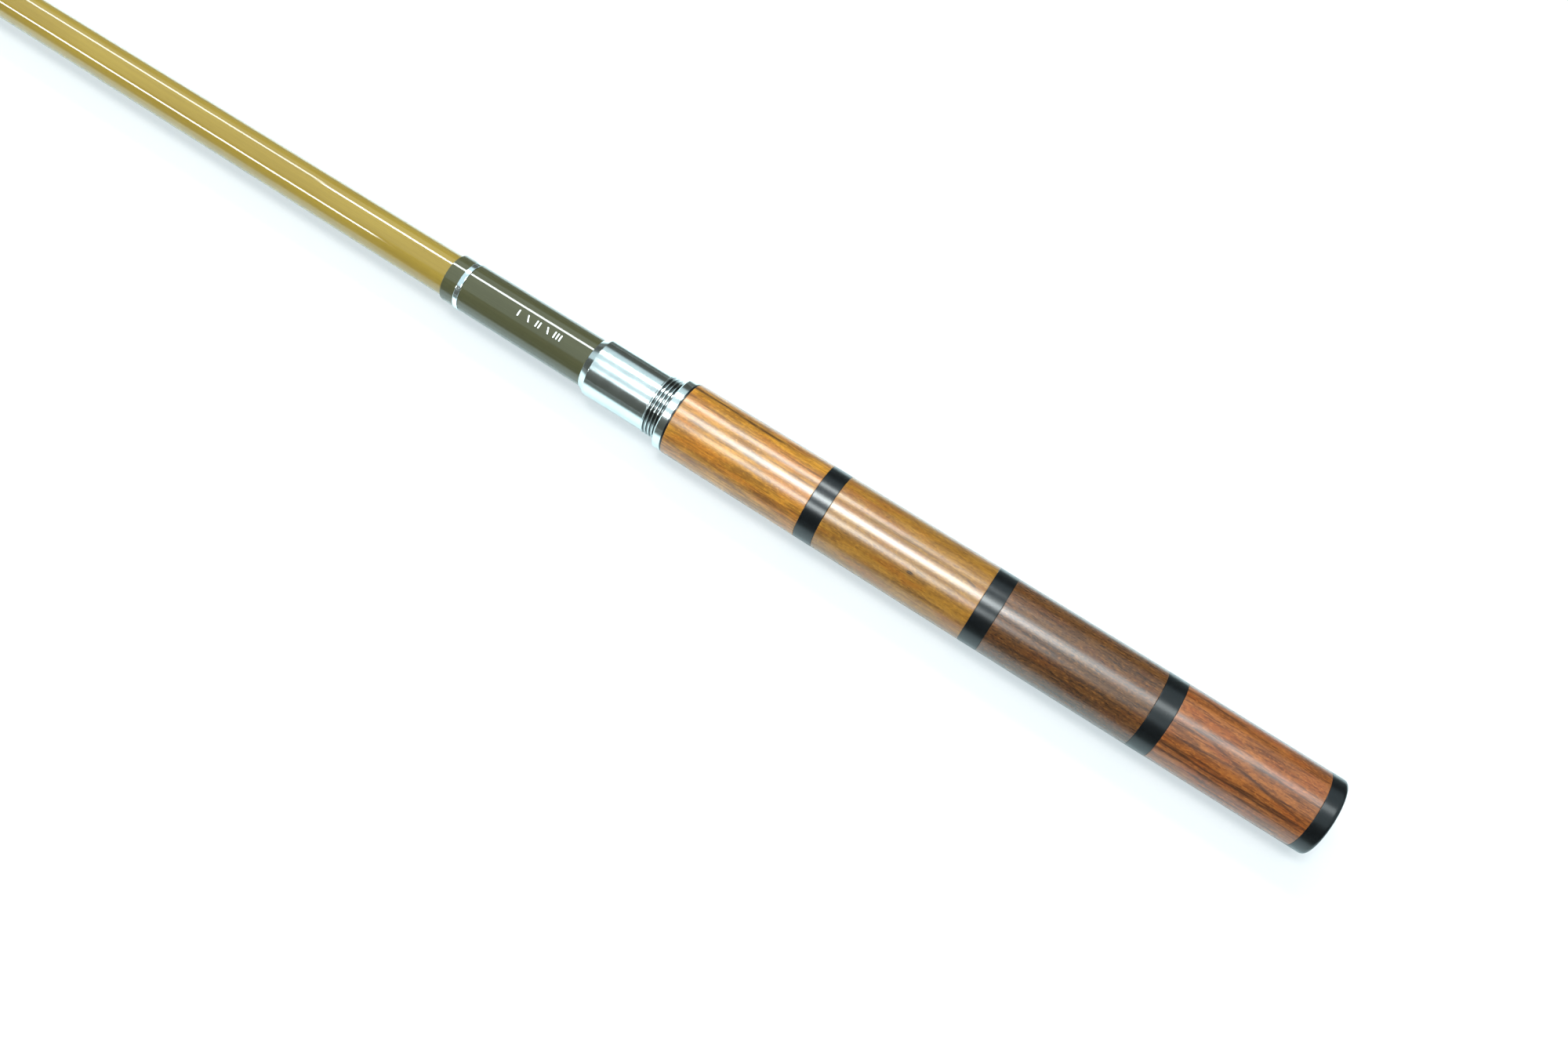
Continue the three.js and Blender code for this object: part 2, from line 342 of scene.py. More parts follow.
class Recipe:
    """The nodes of one material or of the world."""

    def __init__(self, owner):
        owner.use_nodes = True
        self.owner = owner
        self.tree = owner.node_tree
        self.tree.nodes.clear()

    def node(self, kind, settings=None, sockets=None, output=0):
        """Adds a node: its settings first, then values or links for its sockets by name or number."""
        made = self.tree.nodes.new(kind)
        for key, value in (settings or {}).items():
            setattr(made, key, value)
        for key, value in (sockets or {}).items():
            if isinstance(value, Socket):
                self.tree.links.new(value.output, made.inputs[key])
            else:
                made.inputs[key].default_value = value
        return Socket(self, made.outputs[output] if made.outputs else None)

    def spot(self):
        """The place on the piece in millimetres."""
        place = self.node("ShaderNodeTexCoord", output="Object")
        return self.node("ShaderNodeMapping", sockets={"Vector": place, "Scale": (1 / MM,) * 3})

    def parts(self, vector):
        """The three numbers of a vector."""
        split = self.node("ShaderNodeSeparateXYZ", sockets={0: vector})
        return [Socket(self, output) for output in split.output.node.outputs]

    def noise(self, spot, *sizes, detail=2.0, waver=0.0):
        """Noise whose blotches have these sizes in millimetres along X, Y and Z."""
        scaled = self.node(
            "ShaderNodeMapping",
            sockets={"Vector": spot, "Scale": tuple(1 / size for size in sizes)},
        )
        return self.node(
            "ShaderNodeTexNoise",
            sockets={"Vector": scaled, "Scale": 1.0, "Detail": detail, "Distortion": waver},
        )

    def step(self, value, low, high):
        """0 below low and 1 above high, with a smooth rise between, or a fall if low is above high."""
        rise = {"Value": value, "From Min": min(low, high), "From Max": max(low, high)}
        rise.update({"To Min": float(low > high), "To Max": float(low <= high)})
        return self.node("ShaderNodeMapRange", {"interpolation_type": "SMOOTHSTEP"}, rise)

    def mix(self, amount, first, second):
        """The first colour, covered by the second by an amount."""
        four = [x if isinstance(x, Socket) else (*x, 1.0) for x in (first, second)]
        return self.node(
            "ShaderNodeMix", {"data_type": "RGBA"}, {0: amount, 6: four[0], 7: four[1]}, output=2
        )

    def bump(self, height, depth):
        """A normal from a height of 0 to 1 over a depth in millimetres."""
        return self.node(
            "ShaderNodeBump", sockets={"Height": height, "Distance": depth * MM, "Strength": 1.0}
        )

    def surface(self, **sockets):
        """Finishes and returns a material, with its shader's sockets named with underscores."""
        named = {key.replace("_", " "): value for key, value in sockets.items()}
        if "Base Color" in named and not isinstance(named["Base Color"], Socket):
            named["Base Color"] = (*named["Base Color"], 1.0)
        shader = self.node("ShaderNodeBsdfPrincipled", sockets=named)
        self.node("ShaderNodeOutputMaterial", sockets={"Surface": shader})
        return self.owner


def new_recipe(name):
    """The recipe of a new material, the place on the piece, and the calls that it uses most."""
    recipe = Recipe(bpy.data.materials.new(name))
    return recipe, recipe.spot(), recipe.step, recipe.mix, recipe.noise


def tone(rgb, factor, warmth=0.0):
    """A colour made lighter or darker, and warmer by giving red and taking blue."""
    red, green, blue = (channel * factor for channel in rgb)
    return min(red * (1 + warmth), 1.0), min(green, 1.0), min(blue * (1 - warmth), 1.0)


# --- Finishes ---
# A plank's growth rings lie round a pith at some (y, z) outside the block. Its streaks are drawn on
# the turned face from one station and angle to another, and its knots are small ovals on it. Angles
# are in degrees from +Y towards +Z.
Plank = namedtuple(
    "Plank", "pith ring_gap ring_depth cloud grain specks pores flecks streaks knots", defaults=[()]
)
Streak = namedtuple("Streak", "start end start_angle end_angle width depth")
Knot = namedtuple("Knot", "station angle long wide lean depth")

PLANKS = {
    "amber": Plank(
        pith=(-34, -9), ring_gap=5.2, ring_depth=0.55, cloud=0.8, grain=0.42, specks=0.3, pores=0.35,
        flecks=0.3,
        streaks=[Streak(256, 212, 123, 119, 1.2, 1.0), Streak(219, 190, 91, 87, 0.8, 0.5)],
    ),
    "golden": Plank(
        pith=(30, -26), ring_gap=6.5, ring_depth=0.25, cloud=0.5, grain=0.32, specks=0.3, pores=0.4,
        flecks=0.4,
        streaks=[Streak(148, 134, 89, 79, 0.7, 0.4)],
        knots=[Knot(156, 51.5, 1.5, 0.6, 0.0, 1.0), Knot(152.5, 58, 2.4, 0.35, 0.1, 0.55),
               Knot(137, 83.5, 2.6, 0.6, 0.25, 0.6)],
    ),
    "walnut": Plank(
        pith=(-26, 33), ring_gap=4.1, ring_depth=0.45, cloud=0.5, grain=0.55, specks=0.75, pores=0.7,
        flecks=0.5,
        streaks=[Streak(126, 78, 38, 33, 0.8, 0.6), Streak(120, 90, 112, 118, 0.9, 0.4)],
    ),
    "red": Plank(
        pith=(12, -40), ring_gap=2.7, ring_depth=0.7, cloud=0.65, grain=0.75, specks=0.4, pores=0.45,
        flecks=0.3,
        streaks=[Streak(64, 6, 38, 33, 0.9, 0.9), Streak(48, 4, 77, 41, 0.9, 0.7),
                 Streak(66, 34, 125, 121, 0.8, 0.7), Streak(66, 46, 66, 60, 1.2, 0.5)],
    ),
}


def streak_mask(recipe, station, arc_angle, waver, grain, streak):
    """1 along a line on the turned face: its distance is the angle off the line times the radius."""
    along = (station - streak.start) / (streak.end - streak.start)
    swing = streak.end_angle - streak.start_angle
    line = along * swing + streak.start_angle + waver * 14 - 7
    off = abs(arc_angle - line) * math.radians(GRIP_RADIUS) + grain * 1.2 - 0.55
    ends = recipe.step(along, 0.0, 0.12) * recipe.step(along, 1.0, 0.85)
    return recipe.step(off, streak.width, 0.0) * ends * streak.depth


def knot_mask(recipe, station, arc_angle, rough, knot):
    """1 inside an oval on the turned face, whose edge is roughened."""
    along = station - knot.station
    across = (arc_angle - knot.angle) * math.radians(GRIP_RADIUS) - along * knot.lean
    far = (along / knot.long) ** 2 + (across / knot.wide) ** 2 + (rough - 0.5) * 1.8
    return recipe.step(far, 1.1, 0.2) * knot.depth


def wood(name, body, plank, gloss):
    """Oiled and lacquered wood, solid through the block.

    A mottle of two tones and a finer grain are drawn out along the block. Growth rings darken it
    where the distance to the pith, divided by the ring gap, nears the end of each whole number, and
    the grain breaks them up. Streaks, knots, short pores and pale fibres lie over that, and the
    pores sink a little under the lacquer.
    """
    recipe, spot, step, mix, noise = new_recipe(name)
    station, y, z = recipe.parts(spot)
    arc_angle = station.math("ARCTAN2", z, y) * math.degrees(1)
    waver = noise(spot, 30, 12, 12, detail=2)
    cloud = noise(spot, 11, 2.6, 2.6, detail=5, waver=0.3)
    blush = noise(spot, 19, 5, 5, detail=3)
    grain = noise(spot, 12, 0.75, 0.75, detail=5)
    fibre = noise(spot, 4.5, 0.28, 0.28, detail=3)
    pore = step(noise(spot, 2.6, 0.34, 0.34, detail=2), 0.56, 0.68)
    speck = noise(spot, 1.3, 0.6, 0.6, detail=4)
    reach = station.math(
        "SQRT", (y - plank.pith[0]) ** 2 + (z - plank.pith[1]) ** 2
    ) + waver * 3.5 + grain * 0.5
    ring = (reach / plank.ring_gap).fraction()
    ring = step(ring, 0.3, 0.95) * step(ring, 1.0, 0.95) * step(grain, 0.3, 0.62)
    deep, dark = tone(body, 0.5, 0.12), tone(body, 0.12, 0.1)
    base = mix(step(cloud, 0.36, 0.64), deep, tone(body, 1.3, -0.04))
    base = mix(1 - plank.cloud, base, body)
    layers = [
        (step(blush, 0.45, 0.62) * 0.8, tone(body, 0.74, 0.3)),
        (step(grain, 0.5, 0.64) * plank.grain, tone(body, 0.34, 0.15)),
        (step(speck, 0.46, 0.34) * plank.specks, tone(body, 0.3, 0.1)),
        (step(speck, 0.55, 0.66) * plank.specks, tone(body, 1.9, -0.02)),
        (ring * plank.ring_depth, dark),
        *((streak_mask(recipe, station, arc_angle, waver, grain, x), dark) for x in plank.streaks),
        *((knot_mask(recipe, station, arc_angle, fibre, x), dark) for x in plank.knots),
        (step(fibre, 0.52, 0.7) * plank.flecks, tone(body, 1.55, -0.05)),
        (pore * plank.pores, dark),
    ]
    for mask, cover in layers:
        base = mix(mask, base, cover)
    return recipe.surface(
        Base_Color=base,
        Roughness=step(grain, 0.2, 0.8) * 0.12 + 0.46,
        Specular_IOR_Level=0.05,
        Coat_Weight=1.0,
        Coat_Roughness=gloss,
        Coat_IOR=1.52,
        Normal=recipe.bump(fibre * 0.35 + grain * 0.3 - pore * 0.5, 0.02),
    )


def satin_black(name, body):
    """Satin black ring stock: fine lengthwise scuffs in the gloss and a faint mottle."""
    recipe, spot, step, mix, noise = new_recipe(name)
    mottle = noise(spot, 1.4, 1.4, 1.4, detail=4)
    scuff = noise(spot, 0.12, 2.5, 2.5, detail=3)
    return recipe.surface(
        Base_Color=mix(step(mottle, 0.3, 0.7), tone(body, 0.75), tone(body, 1.3)),
        Roughness=scuff * 0.1 + 0.2,
        Specular_IOR_Level=0.4,
        Normal=recipe.bump(scuff, 0.0015),
    )


def turned_metal(name, body, gloss, ridge=0.0006, grooved=None):
    """Metal finished on a lathe: rings so fine that they only soften the gloss along the axis.

    Painted shade darkens the floors of the grooved run, given as its first and last station and the
    radius of its crests.
    """
    recipe, spot, step, mix, noise = new_recipe(name)
    groove_painted_shade = 0.0
    if grooved:
        first, last, crest = grooved
        station, y, z = recipe.parts(spot)
        inside = step(station, first - 0.1, first) * step(station, last + 0.1, last)
        radius = station.math("SQRT", y * y + z * z)
        # painted shade: deep in the grooves, below their crests, the base colour goes dark
        groove_painted_shade = step(radius, crest - 0.12, crest - 0.45) * inside * 0.85
    rings = noise(spot, 0.07, 6, 6, detail=3)
    haze = noise(spot, 5, 5, 5, detail=4)
    clean = mix(step(haze, 0.3, 0.7), tone(body, 0.93), body)
    return recipe.surface(
        # the painted shade in the grooves covers the clean metal
        Base_Color=mix(groove_painted_shade, clean, tone(body, 0.14)),
        Metallic=1.0,
        Roughness=haze * 0.05 + rings * 0.04 + gloss,
        Normal=recipe.bump(rings, ridge),
    )


def lacquer(name, body, gloss, streak=0.22):
    """Tinted lacquer over drawn fibre: faint straight streaks under a smooth clear coat."""
    recipe, spot, step, mix, noise = new_recipe(name)
    streaks = noise(spot, 90, 0.55, 0.55, detail=3)
    depth = noise(spot, 45, 6, 6, detail=2)
    flake = noise(spot, 0.09, 0.09, 0.09, detail=1)
    base = mix(step(depth, 0.25, 0.75), tone(body, 0.92, 0.03), tone(body, 1.06))
    base = mix(step(streaks, 0.35, 0.7) * streak, base, tone(body, 0.6, 0.04))
    base = mix(step(flake, 0.66, 0.78) * 0.18, base, tone(body, 1.7))
    return recipe.surface(
        Base_Color=base,
        Roughness=streaks * 0.1 + 0.45,
        Specular_IOR_Level=0.05,
        Coat_Weight=1.0,
        Coat_Roughness=gloss,
        Normal=recipe.bump(depth, 0.004),
    )


def thread_lacquer(name, body, gloss):
    """Dark thread under lacquer: the strands' own colour varies turn by turn."""
    recipe, spot, step, mix, noise = new_recipe(name)
    strand = noise(spot, 0.3, 1.6, 1.6, detail=2)
    fibre = noise(spot, 0.05, 0.5, 0.5, detail=2)
    base = mix(step(strand, 0.3, 0.7), tone(body, 0.55), tone(body, 1.2))
    return recipe.surface(
        Base_Color=mix(step(fibre, 0.5, 0.8) * 0.35, base, tone(body, 1.9)),
        Roughness=fibre * 0.15 + 0.3,
        Coat_Weight=0.9,
        Coat_Roughness=gloss + 0.05,
        Normal=recipe.bump(fibre, 0.004),
    )


def matte(name, body, grit, roughness, depth):
    """Rubber, foam or ink: a matte body with an even fine grit."""
    recipe, spot, step, mix, noise = new_recipe(name)
    fine = noise(spot, grit, grit, grit, detail=3)
    slow = noise(spot, 3, 3, 3, detail=2)
    base = mix(step(fine, 0.35, 0.65), tone(body, 0.7), tone(body, 1.15))
    return recipe.surface(
        Base_Color=mix(step(slow, 0.4, 0.8) * 0.2, base, tone(body, 0.8)),
        Roughness=fine * 0.15 + roughness,
        Normal=recipe.bump(fine, depth),
    )


def pale_paper(name):
    """White card with a hardly visible tooth. To the camera it has a darker body under a painted even
    glow that lightens the shadows on it; in reflections it is painted grey beside the rod and almost
    black further aside.
    """
    recipe, spot, step, mix, noise = new_recipe(name)
    tooth = noise(spot, 1.2, 1.2, 1.2, detail=3)
    aside = step(abs(recipe.parts(spot)[1]), 42, 85)
    mirrored = recipe.node("ShaderNodeLightPath", output="Is Glossy Ray")
    seen = recipe.node("ShaderNodeLightPath", output="Is Camera Ray")
    # painted reflection shade: reflections of the floor see grey within 42 mm of the rod and almost
    # black beyond 85 mm
    painted_reflection_shade = mix(aside, (0.58, 0.66, 0.68), (0.05, 0.055, 0.048))
    card = mix(tooth, (0.85, 0.885, 0.895), (0.89, 0.915, 0.925))
    # to the camera the card's body is darker, and the painted glow below makes up the rest
    card = mix(seen, card, mix(tooth, (0.24, 0.215, 0.21), (0.26, 0.235, 0.23)))
    return recipe.surface(
        Base_Color=mix(mirrored, card, painted_reflection_shade),
        # painted glow: an even emission that only the camera sees, lightening the floor and its shadows
        Emission_Color=mix(seen, (0, 0, 0), (0.47, 0.54, 0.57)),
        Emission_Strength=1.0,
        Roughness=tooth * 0.1 + 0.7,
        Specular_IOR_Level=0.2,
    )


# Each slot's maker, the setting that holds its colour, and what else the maker takes. A word stands
# for the setting of that name.
FINISHES = {
    "amber_wood": (wood, "amber", PLANKS["amber"], "wood_gloss"),
    "golden_wood": (wood, "golden", PLANKS["golden"], "wood_gloss"),
    "walnut_wood": (wood, "walnut", PLANKS["walnut"], "wood_gloss"),
    "red_wood": (wood, "red", PLANKS["red"], "wood_gloss"),
    "black_ring": (satin_black, "ring"),
    "polished_metal": (turned_metal, "metal", 0.1, 0.0006, GROOVED_RUN),
    "silver_metal": (turned_metal, "silver", 0.08),
    "dark_lacquer": (lacquer, "dark_lacquer", "tube_gloss"),
    "olive_lacquer": (lacquer, "olive_lacquer", "tube_gloss"),
    "wound_thread": (thread_lacquer, "dark_lacquer", "tube_gloss"),
    "tally_ink": (matte, "ink", 0.08, 0.35, 0.001),
    "dark_anodised": (turned_metal, "anodised", 0.26, 0.002),
    "seal_rubber": (matte, "rubber", 0.15, 0.55, 0.004),
    "pad_foam": (matte, "foam", 0.35, 0.8, 0.12),
}


def finish_of(slot):
    """The material of a slot, made the first time that it is asked for."""
    name = f"{slot}_finish"
    if name in bpy.data.materials:
        return bpy.data.materials[name]
    settings = bpy.context.scene.rod_finish
    maker, *details = FINISHES[slot]
    return maker(name, *(getattr(settings, x) if isinstance(x, str) else x for x in details))


# --- Pieces ---
GRIP_BLOCKS = {
    "grip_block_rear": "red_wood",
    "grip_block_mid_rear": "walnut_wood",
    "grip_block_mid_front": "golden_wood",
    "grip_block_front": "amber_wood",
}
SPACERS = ("spacer_ring_rear", "spacer_ring_middle", "spacer_ring_front", "front_shim")


class ROD_OT_grip_blocks(bpy.types.Operator):
    """Turn the four wooden blocks of the grip"""

    bl_idname = "rod.grip_blocks"
    bl_label = "Grip blocks"

    def execute(self, context):
        shape = context.scene.rod_shape
        for node, slot in GRIP_BLOCKS.items():
            corners = sleeve(turned_size(node))
            fit_turned(node, "wood", corners, shape.joint_ease / MM, shape.sides, slot)
        return {"FINISHED"}


class ROD_OT_spacer_rings(bpy.types.Operator):
    """Turn the black rings between the blocks, and the thin one behind the ferrule"""

    bl_idname = "rod.spacer_rings"
    bl_label = "Spacer rings"

    def execute(self, context):
        shape = context.scene.rod_shape
        for node in SPACERS:
            corners = sleeve(turned_size(node))
            fit_turned(node, "turned", corners, shape.joint_ease / MM, shape.sides, "black_ring")
        return {"FINISHED"}


class ROD_OT_butt_ring(bpy.types.Operator):
    """Turn the rounded black ring that ends the grip"""

    bl_idname = "rod.butt_ring"
    bl_label = "Butt ring"

    RECESS_CLEARANCE = 0.2
    RECESS_END = 3.2

    def execute(self, context):
        shape = context.scene.rod_shape
        size, plug = turned_size("butt_ring"), turned_size("butt_plug")
        recess_radius = plug.widest + self.RECESS_CLEARANCE
        corners = [
            (size.start, size.widest),
            (size.end, size.widest),
            (size.end, size.bore_end),
            (self.RECESS_END, size.bore_end),
            (self.RECESS_END, recess_radius),
            (size.start, recess_radius),
        ]
        ease = np.array([shape.butt_round, shape.joint_ease, 0, 0, 0, 3 * shape.joint_ease]) / MM
        fit_turned("butt_ring", "turned", corners, ease, shape.sides, "black_ring", steps=8)
        return {"FINISHED"}


class ROD_OT_ferrule(bpy.types.Operator):
    """Turn the metal ferrule: flange, four grooves, barrel and bevelled nose"""

    bl_idname = "rod.ferrule"
    bl_label = "Ferrule"

    GROOVES = 4
    BARREL_RADIUS = 11.05
    BARREL_START = GROOVED_RUN[1]
    NOSE_LENGTH = 2.8
    NOSE_WALL = 0.25
    FLANGE_CHAMFER = 0.4
    FLAT_SHARE = (0.3, 0.7)  # of a groove's width, where its flat floor starts and ends

    def execute(self, context):
        shape = context.scene.rod_shape
        size = FERRULE
        flange_end = size.start + shape.flange_width / MM
        first = flange_end + 0.3 + np.arange(self.GROOVES) * shape.groove_pitch / MM
        width, floor = shape.groove_width / MM, GROOVED_RUN[2] - shape.groove_depth / MM
        grooves = [
            corner
            for start in first
            for corner in (
                (start, GROOVED_RUN[2]),
                (start + width * self.FLAT_SHARE[0], floor),
                (start + width * self.FLAT_SHARE[1], floor),
                (start + width, GROOVED_RUN[2]),
            )
        ]
        corners = [
            (size.start, size.widest),
            (flange_end - self.FLANGE_CHAMFER, size.widest),
            (flange_end, size.widest - self.FLANGE_CHAMFER),
            (flange_end, GROOVED_RUN[2]),
            *grooves,
            (self.BARREL_START - 0.3, GROOVED_RUN[2]),
            (self.BARREL_START, self.BARREL_RADIUS),
            (size.end - self.NOSE_LENGTH, self.BARREL_RADIUS),
            (size.end, size.bore_end + self.NOSE_WALL),
            (size.end, size.bore_end),
            (size.start, size.bore_start),
        ]
        ease = shape.turned_ease / MM
        fit_turned("ferrule", "turned", corners, ease, shape.sides, "polished_metal")
        return {"FINISHED"}


class ROD_OT_handle_tube(bpy.types.Operator):
    """Make the handle tube, with its spigot, and the two rings on its mouth"""

    bl_idname = "rod.handle_tube"
    bl_label = "Handle tube and mouth"

    TUBE_EASE = 0.15
    MOUTH_EASE = 0.3
    MOUTH_RINGS = {"mouth_ring": "silver_metal", "mouth_band": "dark_lacquer"}

    def execute(self, context):
        sides = context.scene.rod_shape.sides
        spigot = MOUTH_RING.start - 0.05
        corners = [
            (HANDLE.start, HANDLE.outer_start),
            (spigot, tube_radius(spigot)),
            (spigot, HANDLE.outer_end),
            (HANDLE.end, HANDLE.outer_end),
            (HANDLE.end, HANDLE.bore_end),
            (HANDLE.start, HANDLE.bore_start),
        ]
        fit_turned("handle_tube", "lacquered", corners, self.TUBE_EASE, sides, "dark_lacquer")
        for node, slot in self.MOUTH_RINGS.items():
            corners = sleeve(turned_size(node))
            fit_turned(node, "fitted", corners, self.MOUTH_EASE, sides, slot, steps=6)
        return {"FINISHED"}


class ROD_OT_tally_marks(bpy.types.Operator):
    """Print three groups of plain tally strokes, one, two and three, on the handle tube"""

    bl_idname = "rod.tally_marks"
    bl_label = "Tally marks"

    MIDDLE_ANGLE = math.radians(74.6)
    FIRST, LAST = 321.4, 301.6
    STROKE_GAP = 1.25
    DIVIDER_LEAN = 0.42
    INK = 0.02

    def execute(self, context):
        shape = context.scene.rod_shape
        height, width = shape.tally_height / MM, shape.tally_width / MM
        middles = np.linspace(self.FIRST - 1.0, self.LAST + 2.2, 5)
        strokes = []
        for place, middle in enumerate(middles):
            count, lean = (place // 2 + 1, 0.0) if place % 2 == 0 else (1, self.DIVIDER_LEAN)
            offsets = (np.arange(count) - (count - 1) / 2) * self.STROKE_GAP
            strokes += [(middle + offset, lean) for offset in offsets]
        material = finish_of("tally_ink")
        pieces = [self.stroke(*stroke, height, width, material) for stroke in strokes]
        with context.temp_override(
            active_object=pieces[0], object=pieces[0], selected_editable_objects=pieces
        ):
            bpy.ops.object.join()
        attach(pieces[0], "handle")
        return {"FINISHED"}

    def stroke(self, middle, lean, height, width, material):
        """A thin slab on the tube: a ring of eight places along it is carried over the height.

        Along the arc, angle = middle angle + s / radius for s from minus to plus half the height, and
        the slab's ring of (along, outward) corners closes into a point at both ends.
        """
        ring = np.array([[-1, -0.3], [1, -0.3], [1, 0.8], [0.9, 1], [-0.9, 1], [-1, 0.8]])
        s = np.linspace(-0.5, 0.5, 9) * height
        s = np.concatenate([s[:1], s, s[-1:]])[:, None]
        size = np.ones_like(s)
        size[[0, -1]] = 0
        radius = tube_radius(middle) + ring[:, 1] * self.INK * size
        station = middle + ring[:, 0] * size * width / 2 + s * lean
        angle = self.MIDDLE_ANGLE + s / tube_radius(middle)
        return skin("tally_marks", round_rod(station, radius, angle), material)


class ROD_OT_sections(bpy.types.Operator):
    """Make the eight sliding sections and the sleeve on the tip"""

    bl_idname = "rod.sections"
    bl_label = "Sliding sections"

    MOUTH_EASE = 0.12
    CRIMPS = (0.3, 0.7)
    CRIMP_WIDTH = 0.07
    CRIMP_DEPTH = 0.09

    def execute(self, context):
        shape = context.scene.rod_shape
        for number in SECTION_NUMBERS:
            node = f"section_{number}"
            size = turned_size(node)
            sides = int(max(shape.sides * 0.8 * size.outer_start / HANDLE.outer_start, 40))
            ease = min(self.MOUTH_EASE, min(size.outer_end - size.bore_end, 1) / 3)
            fit_turned(node, "lacquered", sleeve(size), ease, sides, "olive_lacquer")
        self.tip_sleeve()
        return {"FINISHED"}

    def tip_sleeve(self):
        """A capped sleeve whose radius dips by depth * bell(x) * (1 + cos 4a) / 2 at each crimp."""
        size = turned_size("tip_sleeve")
        rod_end = turned_size("section_9").end
        corners = [
            (size.start, size.outer_start),
            (size.end, size.widest),
            (size.end, 0),
            (rod_end + 0.1, 0),
            (rod_end + 0.1, size.bore_start),
            (size.start, size.bore_start),
        ]
        outline = eased(corners, [0.05, 0.2, 0, 0, 0, 0.02])
        run = np.linspace(size.start + 0.2, size.end - 0.4, 40)
        outer = np.stack([run, np.full_like(run, size.widest)], axis=1)
        split = len(outline) // len(corners)
        grid = turned(np.concatenate([outline[:split], outer, outline[split:]]), 48)
        share_along = (grid[..., 0] - size.start) / (size.end - size.start)
        angle = np.arctan2(grid[..., 2], grid[..., 1])
        bell = sum(
            np.exp(-(((share_along - place) / self.CRIMP_WIDTH) ** 2)) for place in self.CRIMPS
        )
        on_face = np.hypot(grid[..., 1], grid[..., 2]) > size.widest * 0.95
        dip = 1 - on_face * bell * self.CRIMP_DEPTH * (1 + np.cos(4 * angle)) / 2
        grid[..., 1:] *= dip[..., None]
        fit("tip_sleeve", "crimped", grid, "polished_metal")


class ROD_OT_mouth_windings(bpy.types.Operator):
    """Wind thread round the mouth of every hollow sliding section"""

    bl_idname = "rod.mouth_windings"
    bl_label = "Mouth windings"

    STEPS_PER_TURN = 8
    SHARP_ANGLE = math.radians(70)
    BARE_SHARE = 0.72  # of the thread's thickness, in the valley between two turns

    def execute(self, context):
        shape = context.scene.rod_shape
        for number in list(SECTION_NUMBERS)[:-1]:
            node = f"mouth_winding_{number}"
            size = turned_size(node)
            thickness = size.widest - size.bore_start
            pitch = min(shape.winding_pitch / MM, 2.2 * thickness)
            turns = (size.end - size.start) / pitch
            station = np.linspace(size.start, size.end, int(turns * self.STEPS_PER_TURN))
            sides = int(max(96 * size.widest / HANDLE.outer_end, 32))
            bore = np.interp(station, [size.start, size.end], [size.bore_start, size.bore_end])
            ends = np.minimum(station - size.start, size.end - station)
            cover = thickness * np.clip(ends / 0.5, 0.12, 1)[:, None]
            ridge = self.BARE_SHARE + (1 - self.BARE_SHARE) * helix(station, pitch, sides)
            outer = bore[:, None] + cover * ridge
            inner = np.repeat(bore[[-1, 0], None], sides, axis=1)
            radius = np.concatenate([outer, inner])
            along = np.concatenate([station, station[[-1, 0]]])[:, None]
            points = round_rod(along, radius, full_turn(sides))
            piece = skin(f"{node}_thread", points, finish_of("wound_thread"), self.SHARP_ANGLE)
            stand_for(piece, node)
        return {"FINISHED"}


